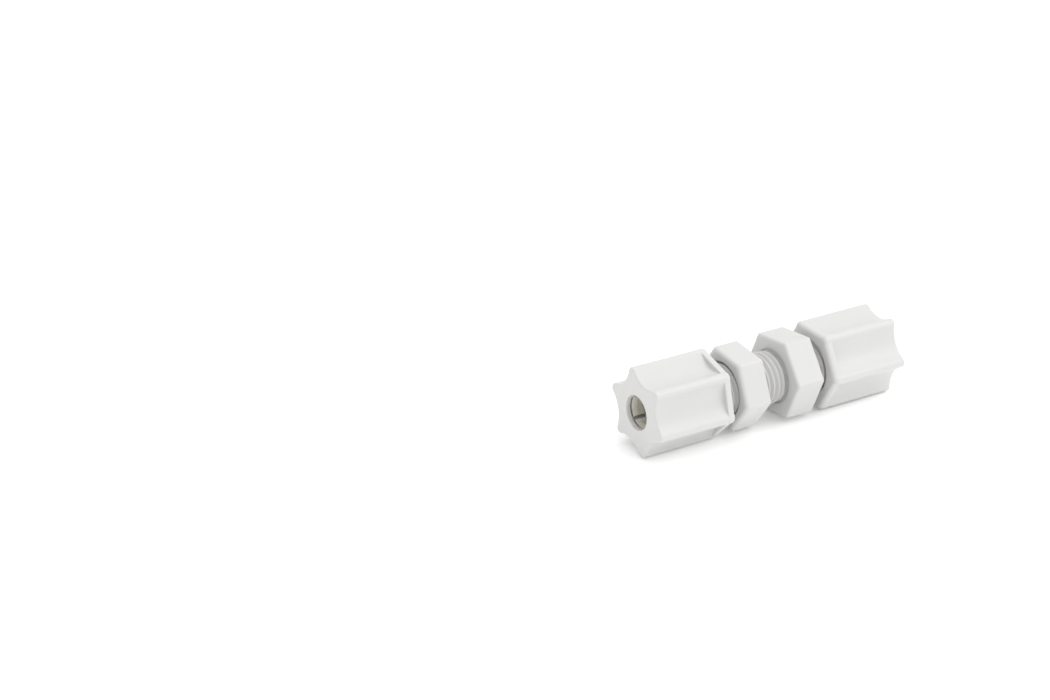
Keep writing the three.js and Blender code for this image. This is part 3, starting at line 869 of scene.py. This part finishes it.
def moulded_skin_group():
    """Grain and clouds of a moulded surface: a colour, a roughness and a height that change over it."""
    group, start, end = new_group(
        "moulded_skin",
        [("Plastic", COLOUR, (0.8, 0.8, 0.79, 1)), ("Cloud tint", COLOUR, (0.74, 0.73, 0.7, 1)),
         ("Cloud share", NUMBER, 0.3), ("Roughness", NUMBER, 0.45), ("Roughness spread", NUMBER, 0.12),
         ("Grain scale", NUMBER, 3500.0)],
        [("Colour", COLOUR), ("Roughness", NUMBER), ("Height", NUMBER)])
    place = add_node(group, "ShaderNodeTexCoord", (-900, 300)).outputs["Object"]
    clouds = noise(group, (-700, 250), place, CLOUD_SCALE, 3.0, 0.55)
    grain = noise(group, (-700, 0), place, start.outputs["Grain scale"], 4.0, 0.6)
    swirl = noise(group, (-700, -250), place, SWIRL_SCALE, 2.0, 0.5)
    cloudy = math_node(group, "MULTIPLY", (-450, 250), clouds, start.outputs["Cloud share"])
    speckled = math_node(group, "MULTIPLY_ADD", (-280, 250), grain, SPECKLE_SHARE)
    group.links.new(cloudy, speckled.node.inputs[2])
    mix = add_node(group, "ShaderNodeMix", (0, 250), data_type="RGBA")
    group.links.new(speckled, mix.inputs["Factor"])
    group.links.new(start.outputs["Plastic"], mix.inputs[6])
    group.links.new(start.outputs["Cloud tint"], mix.inputs[7])
    group.links.new(mix.outputs[2], end.inputs["Colour"])
    centred = math_node(group, "SUBTRACT", (-450, -50), swirl, 0.5)
    spread = math_node(group, "MULTIPLY", (-280, -50), centred, start.outputs["Roughness spread"])
    rough = math_node(group, "ADD", (0, -50), spread, start.outputs["Roughness"])
    group.links.new(rough, end.inputs["Roughness"])
    low = math_node(group, "MULTIPLY", (-450, -300), swirl, SWIRL_HEIGHT)
    height = math_node(group, "ADD", (0, -300), low, grain)
    group.links.new(height, end.inputs["Height"])
    return group


moulded_skin = moulded_skin_group()
print("group", moulded_skin.name, "with", len(moulded_skin.nodes), "nodes")


# %% Crevice group
def crevice_group():
    """Painted warm shade: darkens the colour in narrow gaps, thread roots and the feet of the flutes."""
    group, start, end = new_group(
        "crevice_shade",
        [("Colour", COLOUR, (0.8, 0.8, 0.79, 1)), ("Shade", COLOUR, (0.5, 0.48, 0.44, 1)),
         ("Reach", NUMBER, 0.002), ("Strength", NUMBER, 0.3)],
        [("Colour", COLOUR), ("Mask", NUMBER)])
    # Painted shade: the ambient occlusion mask pulls the colour towards the shade colour.
    near = add_node(group, "ShaderNodeAmbientOcclusion", (-650, 0), samples=8)
    group.links.new(start.outputs["Reach"], near.inputs["Distance"])
    hidden = math_node(group, "SUBTRACT", (-450, 0), 1.0, near.outputs["AO"])
    squared = math_node(group, "POWER", (-280, 0), hidden, 1.5)
    mask = math_node(group, "MULTIPLY", (-100, 0), squared, start.outputs["Strength"])
    mix = add_node(group, "ShaderNodeMix", (150, 150), data_type="RGBA")
    group.links.new(mask, mix.inputs["Factor"])
    group.links.new(start.outputs["Colour"], mix.inputs[6])
    group.links.new(start.outputs["Shade"], mix.inputs[7])
    group.links.new(mix.outputs[2], end.inputs["Colour"])
    group.links.new(mask, end.inputs["Mask"])
    return group


crevice_shade = crevice_group()
print("group", crevice_shade.name, "with", len(crevice_shade.nodes), "nodes")


# %% One plastic material
def plastic(name, colour, cloud_tint, roughness, grain_scale=3500.0, grain_depth=0.012,
            shade=(0.40, 0.385, 0.34, 1), shade_strength=0.2, through_light=0.2):
    """A moulded plastic. The light that enters and comes back is set on the shader's own sockets."""
    material = bpy.data.materials.new(name)
    material.use_nodes = True
    tree = material.node_tree
    shader = tree.nodes["Principled BSDF"]
    skin = add_node(tree, "ShaderNodeGroup", (-900, 200), node_tree=moulded_skin)
    skin.inputs["Plastic"].default_value = colour
    skin.inputs["Cloud tint"].default_value = cloud_tint
    skin.inputs["Roughness"].default_value = roughness
    skin.inputs["Grain scale"].default_value = grain_scale
    # Painted shade: the crevice group darkens the base colour where near surfaces hide the room.
    crevice = add_node(tree, "ShaderNodeGroup", (-600, 200), node_tree=crevice_shade)
    crevice.inputs["Shade"].default_value = shade
    crevice.inputs["Strength"].default_value = shade_strength
    tree.links.new(skin.outputs["Colour"], crevice.inputs["Colour"])
    tree.links.new(crevice.outputs["Colour"], shader.inputs["Base Color"])
    tree.links.new(skin.outputs["Roughness"], shader.inputs["Roughness"])
    bump = add_node(tree, "ShaderNodeBump", (-300, -200))
    bump.inputs["Strength"].default_value = 0.35
    bump.inputs["Distance"].default_value = grain_depth * MM
    tree.links.new(skin.outputs["Height"], bump.inputs["Height"])
    tree.links.new(bump.outputs["Normal"], shader.inputs["Normal"])
    shader.inputs["IOR"].default_value = 1.49
    shader.inputs["Subsurface Weight"].default_value = through_light
    shader.inputs["Subsurface Radius"].default_value = (1.0, 0.9, 0.75)
    shader.inputs["Subsurface Scale"].default_value = 0.5 * MM
    return material


# %% Finishes of the pieces
body_plastic = plastic("body_plastic", (0.585, 0.585, 0.577, 1), (0.53, 0.525, 0.513, 1), 0.42)
nut_plastic = plastic("nut_plastic", (0.595, 0.595, 0.587, 1), (0.54, 0.535, 0.523, 1), 0.40)
gripper_plastic = plastic("gripper_plastic", (0.66, 0.64, 0.565, 1), (0.60, 0.58, 0.51, 1), 0.5,
                          grain_depth=0.006, shade_strength=0.0, through_light=0.0)
spacer_plastic = plastic("spacer_plastic", (0.55, 0.54, 0.49, 1), (0.48, 0.47, 0.42, 1), 0.35,
                         grain_depth=0.006, through_light=0.05)
sleeve_plastic = plastic("sleeve_plastic", (0.70, 0.69, 0.63, 1), (0.62, 0.61, 0.55, 1), 0.5,
                         grain_depth=0.01, through_light=0.15)
for piece, material in [
    (union_body, body_plastic), (gate_mark, body_plastic), (panel_nut, nut_plastic),
    *[(nut, nut_plastic) for nut in nuts.values()],
    *[(gripper, gripper_plastic) for gripper in grippers.values()],
    *[(spacer, spacer_plastic) for spacer in spacers.values()],
    *[(sleeve, sleeve_plastic) for sleeve in sleeves.values()],
]:
    piece.data.materials.clear()
    piece.data.materials.append(material)
print("materials:", [m.name for m in bpy.data.materials])

# %% [markdown]
# ## Floor, light and camera
# The fitting lies on a white table. It rests on one lobe of each nut and on one corner of the flange,
# so the table is a plane just under those three, leaning a little to the fitting's own axes. The light
# is that of a white studio: bright all round, with one large soft panel overhead and a stronger one
# high in front. The table gives back a little light of its own, as a lit white sweep does, so shadows
# stay pale and close to the object.

# %% The plane that the fitting rests on
TABLE_HALF = 4.0
TABLE_GLOW = 0.1


def resting_plane(pieces):
    """Slopes and height of the plane that touches the lowest point of each of three pieces."""
    clouds = []
    for piece in pieces:
        points = np.empty(len(piece.data.vertices) * 3)
        piece.data.vertices.foreach_get("co", points)
        clouds.append(points.reshape(-1, 3))
    plane = np.zeros(3)
    for _ in range(12):
        feet = np.array([cloud[np.argmin(cloud[:, 2] - cloud[:, :2] @ plane[:2])] for cloud in clouds])
        plane = np.linalg.solve(np.column_stack([feet[:, :2], np.ones(3)]), feet[:, 2])
    print("feet, mm:", (feet / MM).round(2).tolist())
    return plane


slope_x, slope_y, table_height = resting_plane([union_body, nuts["left"], nuts["right"]])
print("the table leans", round(math.degrees(slope_x), 2), "and", round(math.degrees(slope_y), 2), "degrees")

# %% Table
table_mesh = bpy.data.meshes.new("table_top")
corners = [(x * TABLE_HALF, y * TABLE_HALF) for x, y in ((-1, -1), (1, -1), (1, 1), (-1, 1))]
table_mesh.from_pydata([(x, y, table_height + slope_x * x + slope_y * y) for x, y in corners],
                       [], [(0, 1, 2, 3)])
table = bpy.data.objects.new("table_top", table_mesh)
bpy.context.scene.collection.objects.link(table)

table_paint = bpy.data.materials.new("white_table")
table_paint.use_nodes = True
table_nodes = table_paint.node_tree
table_shader = table_nodes.nodes["Principled BSDF"]
table_shader.inputs["Roughness"].default_value = 0.9
table_shader.inputs["Specular IOR Level"].default_value = 0.1
table_shader.inputs["Emission Color"].default_value = (1.0, 1.0, 1.0, 1)
table_shader.inputs["Emission Strength"].default_value = TABLE_GLOW
table_place = add_node(table_nodes, "ShaderNodeTexCoord", (-900, 0)).outputs["Object"]
paper = noise(table_nodes, (-700, 0), table_place, 60.0, 2.0, 0.5)
paper_mix = add_node(table_nodes, "ShaderNodeMix", (-400, 0), data_type="RGBA")
paper_mix.inputs[6].default_value = (0.965, 0.965, 0.965, 1)
paper_mix.inputs[7].default_value = (0.98, 0.98, 0.978, 1)
table_nodes.links.new(paper, paper_mix.inputs["Factor"])
table_nodes.links.new(paper_mix.outputs[2], table_shader.inputs["Base Color"])
table.data.materials.append(table_paint)

# %% Light
ROOM_LIGHT = 0.99
world = bpy.data.worlds.new("white_room")
world.use_nodes = True
world.node_tree.nodes["Background"].inputs["Color"].default_value = (1.0, 1.0, 1.0, 1)
world.node_tree.nodes["Background"].inputs["Strength"].default_value = ROOM_LIGHT
bpy.context.scene.world = world
bpy.context.scene.view_settings.view_transform = "Standard"


def soft_panel(name, place, size, power):
    """A square soft light that faces the fitting."""
    light = bpy.data.lights.new(name, "AREA")
    light.size = size
    light.energy = power
    panel = bpy.data.objects.new(name, light)
    panel.location = place
    panel.rotation_euler = Vector(place).to_track_quat("Z", "Y").to_euler()
    bpy.context.scene.collection.objects.link(panel)
    return panel


soft_panel("overhead_panel", place=(0.15, 0.05, 0.75), size=0.7, power=1.6)
soft_panel("front_panel", place=(0.42, -0.52, 0.70), size=0.6, power=2.6)
print("lights:", [light.name for light in bpy.data.lights])

# %% Camera
CAMERA_PLACE = Vector((-302.2, -398.9, 234.0)) * MM
CAMERA_AZIMUTH = math.radians(-31.622)
CAMERA_ELEVATION = math.radians(24.543)
LENS = 91.95
camera_data = bpy.data.cameras.new("camera")
camera_data.lens = LENS
camera_data.sensor_width = 36
camera_data.clip_start = 0.01
camera = bpy.data.objects.new("camera", camera_data)
camera.location = CAMERA_PLACE
camera.rotation_euler = (math.pi / 2 - CAMERA_ELEVATION, 0, CAMERA_AZIMUTH)
bpy.context.scene.collection.objects.link(camera)
bpy.context.scene.camera = camera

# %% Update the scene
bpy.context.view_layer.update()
